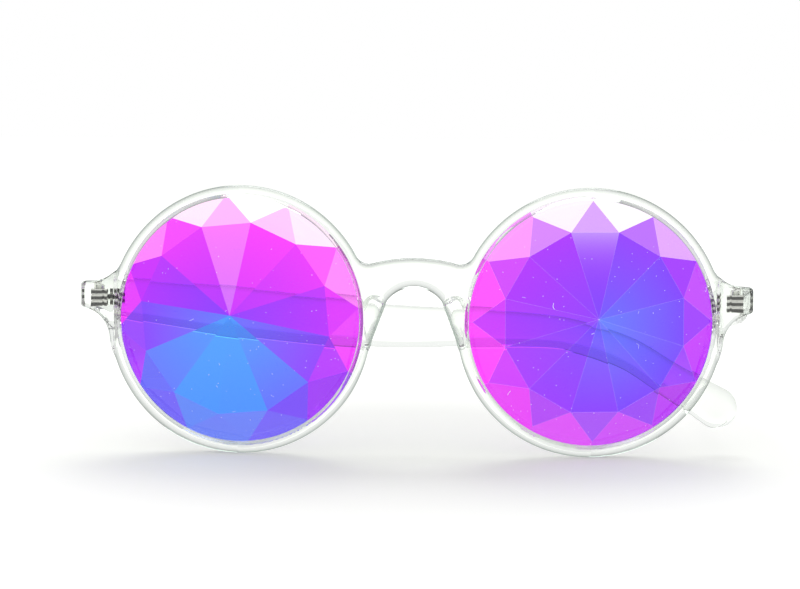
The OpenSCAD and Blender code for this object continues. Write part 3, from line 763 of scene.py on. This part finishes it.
def ramp(nt, value, start, end, low, high):
    """The number low up to where value is start, high from where it is end, and an even change between."""
    return first(nt, "ShaderNodeMapRange", {"Value": value, "From Min": start, "From Max": end,
                                            "To Min": low, "To Max": high})


# The clear plastic's own faint tints, and the grey-green tint with painted shade where it is seen at a slant
CLEAR_DEEP, CLEAR_PALE, SLANT_TINT_AND_SHADE = (0.9, 0.94, 0.905, 1), (0.96, 0.97, 0.95, 1), (0.1, 0.145, 0.12, 1)


def clear_plastic(name, ior):
    """Clear moulded plastic with slow flow waves in its polish, painted grey-green shade at slants; a lower
    ior shows its edges less.
    """
    m, nt, out = new_material(name)
    where = add(nt, "ShaderNodeTexCoord").outputs["Object"]
    flow = add(nt, "ShaderNodeTexNoise", {"Vector": where, "Scale": 110.0, "Detail": 2.0}).outputs["Fac"]
    clear = mix_colour(nt, flow, CLEAR_DEEP, CLEAR_PALE)
    free = add(nt, "ShaderNodeAttribute", attribute_name="free_of_cast").outputs["Fac"]
    slant = add(nt, "ShaderNodeLayerWeight", {"Blend": 0.5}).outputs["Facing"]
    # Painted shade: a grey-green tint that darkens where the surface is seen at a slant
    share = math_of(nt, "MULTIPLY", math_of(nt, "MULTIPLY", slant, 1.5), math_of(nt, "SUBTRACT", 1.0, free))
    wave = first(nt, "ShaderNodeBump", {"Strength": 0.02, "Distance": 0.001, "Height": flow})
    body = first(nt, "ShaderNodeBsdfPrincipled", {
        "Base Color": mix_colour(nt, share, clear, SLANT_TINT_AND_SHADE), "Roughness": 0.02, "IOR": ior,
        "Transmission Weight": 1.0, "Normal": wave})
    nt.links.new(body, out.inputs["Surface"])
    return m


# The colours of the painted pale sheen and of the dust
SHEEN, DUST = (1, 0.98, 1, 1), (0.95, 0.85, 1, 1)


def coated_glass():
    """Faceted glass seen with its coating's colours and a painted pale sheen, with a little dust and a few
    fine hairline scratches.
    """
    m, nt, out = new_material("coated_faceted_glass")
    where = add(nt, "ShaderNodeTexCoord").outputs["Object"]
    coating = add(nt, "ShaderNodeAttribute", attribute_name="coating").outputs
    reach = add(nt, "ShaderNodeAttribute", attribute_name="reach").outputs["Fac"]
    # Painted sheen: the facets turn pale toward white where the stored sheen is strong
    pale = math_of(nt, "MULTIPLY", coating["Alpha"], math_of(nt, "POWER", reach, 5.0))
    coat = mix_colour(nt, pale, coating["Color"], SHEEN)
    deep = mix_colour(nt, 1.0, coat, coat, "MULTIPLY")
    cells = add(nt, "ShaderNodeTexVoronoi", {"Vector": where, "Scale": 700.0}).outputs
    speck = math_of(nt, "LESS_THAN", cells["Distance"], 0.06)
    wander = add(nt, "ShaderNodeTexNoise", {"Vector": where, "Scale": 90.0}).outputs["Fac"]
    patch = add(nt, "ShaderNodeTexNoise", {"Vector": where, "Scale": 260.0}).outputs["Fac"]
    hair = math_of(nt, "LESS_THAN", math_of(nt, "ABSOLUTE", math_of(nt, "SUBTRACT", wander, 0.5)), 0.0016)
    scratch = math_of(nt, "MULTIPLY", hair, math_of(nt, "GREATER_THAN", patch, 0.66))
    marks = math_of(nt, "MAXIMUM", speck, scratch)
    marked = mix_colour(nt, math_of(nt, "MULTIPLY", marks, 0.45), deep, DUST)
    dull = math_of(nt, "MULTIPLY", marks, 0.5)
    body = first(nt, "ShaderNodeBsdfPrincipled", {
        "Base Color": marked, "Roughness": dull, "IOR": 1.5, "Transmission Weight": 1.0})
    nt.links.new(body, out.inputs["Surface"])
    return m


# Painted shade: dark level bars on the hinge leaves for the shaded knuckles: middle height, step and colour
KNUCKLE_SHADE_Z, KNUCKLE_SHADE_STEP, KNUCKLE_SHADE_DARK = 0.0313, 0.00125, (0.01, 0.01, 0.01, 1)


def metal(name, colour, rough, knuckle_shade=0.0):
    """Small stamped or turned metal with a fine uneven grain; knuckle_shade is the strength of its painted
    shade bars.
    """
    m, nt, out = new_material(name)
    where = add(nt, "ShaderNodeTexCoord").outputs["Object"]
    grain = add(nt, "ShaderNodeTexNoise", {"Vector": where, "Scale": 2500.0}).outputs["Fac"]
    dull = ramp(nt, grain, 0.0, 1.0, rough * 0.7, rough * 1.3)
    shade = mix_colour(nt, grain, (*[c * 0.82 for c in colour], 1), (*colour, 1))
    if knuckle_shade:
        # Painted shade: dark level bars up the leaf, where the knuckles would lie in shade
        level = math_of(nt, "SUBTRACT", add(nt, "ShaderNodeSeparateXYZ", {0: where}).outputs[2], KNUCKLE_SHADE_Z)
        shade_bars = math_of(nt, "COSINE", math_of(nt, "MULTIPLY", level, 2 * math.pi / KNUCKLE_SHADE_STEP))
        shade = mix_colour(nt, ramp(nt, shade_bars, -0.5, 0.3, 0.0, knuckle_shade), shade, KNUCKLE_SHADE_DARK)
    body = first(nt, "ShaderNodeBsdfPrincipled", {"Metallic": 1.0, "Roughness": dull, "Base Color": shade})
    nt.links.new(body, out.inputs["Surface"])
    return m


# The pieces, each on its body
def put(ob, body, node):
    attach(ob, body)
    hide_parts(node)


plastic = clear_plastic("clear_moulded_plastic", 1.5)
arm_plastic = clear_plastic("clear_arm_plastic", 1.35)
pad_plastic = clear_plastic("clear_pad_plastic", 1.07)
glass = coated_glass()
front = build_front()
front.data.materials.append(plastic)
front.data.materials.append(pad_plastic)
put(front, "front", "front_frame")
facet_tree, temple_tree = lens_tree(), sweep_tree()
for name, spec, node in (("prism_left", LEFT, "lens_left"), ("prism_right", RIGHT, "lens_right")):
    put(build_lens(name, spec, facet_tree, glass), "front", node)
for name, side, fold in (("left", -1, LEFT_FOLD), ("right", 1, RIGHT_FOLD)):
    arm = build_temple("arm_" + name, side, fold, temple_tree, arm_plastic)
    put(arm, name + "_temple", "temple_" + name)
# The hinge steel takes the painted knuckle shade
steel = metal("hinge_steel", (0.8, 0.79, 0.76), 0.14, 0.88)
screw = metal("screw_steel", (0.75, 0.74, 0.7), 0.1)
for node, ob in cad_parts.items():
    if "hinge" in node:
        ob.data.materials.clear()
        ob.data.materials.append(screw if "screw" in node else steel)


# Floor, studio, camera and lamp
# How far the floor glows toward white by the glasses, around them and far off, and the middle of that glow
NEAR_GLOW, MID_GLOW, FAR_GLOW, GLOW_MIDDLE = 0.33, 0.52, 0.58, (0, -0.05, 0)
# The studio's light on the glasses, and the lamp's power, place and tilt
AMBIENT, LAMP_POWER, LAMP_AT, LAMP_TILT = 0.55, 2.8, (0, 0.55, 0.71), math.radians(-38)


def seen_directly(nt):
    """1 for the camera and for what the clear parts show, and 0 for the light that falls on the floor."""
    path = add(nt, "ShaderNodeLightPath").outputs
    either = math_of(nt, "MAXIMUM", path["Is Camera Ray"], path["Is Glossy Ray"])
    return math_of(nt, "MAXIMUM", either, path["Is Transmission Ray"])


def build_floor():
    half = 6.0
    corners = [(-half, -half, 0), (half, -half, 0), (half, half, 0), (-half, half, 0)]
    floor = mesh_object("floor", corners, [(0, 1, 2, 3)])
    m, nt, out = new_material("white_floor")
    matt = first(nt, "ShaderNodeBsdfDiffuse", {"Color": (0.8, 0.815, 0.775, 1)})
    where = add(nt, "ShaderNodeTexCoord").outputs["Object"]
    far = add(nt, "ShaderNodeVectorMath", {0: where, 1: GLOW_MIDDLE}, operation="DISTANCE").outputs["Value"]
    # Painted shade: the glow is weaker by the glasses, so the floor round them stays grey
    glow = ramp(nt, far, 0.25, 1.2, ramp(nt, far, 0.04, 0.1, NEAR_GLOW, MID_GLOW), FAR_GLOW)
    lift = first(nt, "ShaderNodeEmission", {"Strength": math_of(nt, "MULTIPLY", seen_directly(nt), glow)})
    both = first(nt, "ShaderNodeAddShader", {0: matt, 1: lift})
    nt.links.new(both, out.inputs["Surface"])
    floor.data.materials.append(m)


def build_studio():
    """White behind the glasses, darker above and at the sides, so that the clear edges show."""
    world = bpy.data.worlds.new("studio")
    bpy.context.scene.world = world
    world.use_nodes = True
    nt = world.node_tree
    nt.nodes.clear()
    way = add(nt, "ShaderNodeSeparateXYZ", {0: add(nt, "ShaderNodeTexCoord").outputs["Generated"]}).outputs
    back = ramp(nt, way[1], -0.35, 0.25, 0.85, 1.0)
    sky = ramp(nt, way[2], 0.3, 0.65, 1.0, 0.4)
    aside = ramp(nt, math_of(nt, "ABSOLUTE", way[0]), 0.5, 0.85, 1.0, 0.65)
    shown = math_of(nt, "MULTIPLY", math_of(nt, "MULTIPLY", back, sky), aside)
    level = first(nt, "ShaderNodeMix", {0: seen_directly(nt), 2: AMBIENT, 3: shown}, data_type="FLOAT")
    light = first(nt, "ShaderNodeBackground", {"Color": (1, 1, 1, 1), "Strength": level})
    nt.links.new(light, add(nt, "ShaderNodeOutputWorld").inputs[0])


def turn_about(axis, a):
    c, s = math.cos(a), math.sin(a)
    return np.array({"x": [[1, 0, 0], [0, c, -s], [0, s, c]], "y": [[c, 0, s], [0, 1, 0], [-s, 0, c]],
                     "z": [[c, -s, 0], [s, c, 0], [0, 0, 1]]}[axis])


def build_camera():
    """The camera's place and turn in the glasses' own frame, set by the photograph, then leaned with them."""
    focal_px, frame_px, distance, aside, above = 1879.4, 800, 380.0, 2.783, -5.682
    pitch, yaw, roll = (math.radians(v) for v in (3.0, -2.16, 0.47))
    turn = turn_about("y", roll) @ turn_about("x", pitch) @ turn_about("z", yaw)
    lean = turn_about("x", -LEAN)
    look, up = lean @ turn.T @ np.array([0, 1, 0]), lean @ turn.T @ np.array([0, 0, 1])
    right, at = np.cross(look, up), standing(turn.T @ np.array([-aside, -distance, -above]))
    cam = bpy.data.cameras.new("camera")
    cam.sensor_width, cam.clip_start = 36, 0.01
    cam.lens = focal_px * cam.sensor_width / frame_px
    ob = new_object("camera", cam)
    ob.matrix_world = Matrix([(right[k], up[k], -look[k], at[k]) for k in range(3)] + [(0, 0, 0, 1)])
    bpy.context.scene.camera = ob


def build_lamp():
    """One large soft lamp above and behind, so that the soft shadow falls toward the camera."""
    lamp = bpy.data.lights.new("softbox", "AREA")
    lamp.shape, lamp.size, lamp.size_y, lamp.energy = "RECTANGLE", 0.5, 0.6, LAMP_POWER
    ob = new_object("softbox", lamp)
    ob.matrix_world = Matrix.Translation(LAMP_AT) @ Matrix.Rotation(LAMP_TILT, 4, "X")


build_floor()
build_studio()
build_camera()
build_lamp()
bpy.context.scene.view_settings.view_transform = "Standard"
# Light passes through many clear faces on its way, and at the usual number of bounces they would turn dark
paths = bpy.context.scene.cycles
paths.max_bounces = paths.transmission_bounces = paths.glossy_bounces = 32
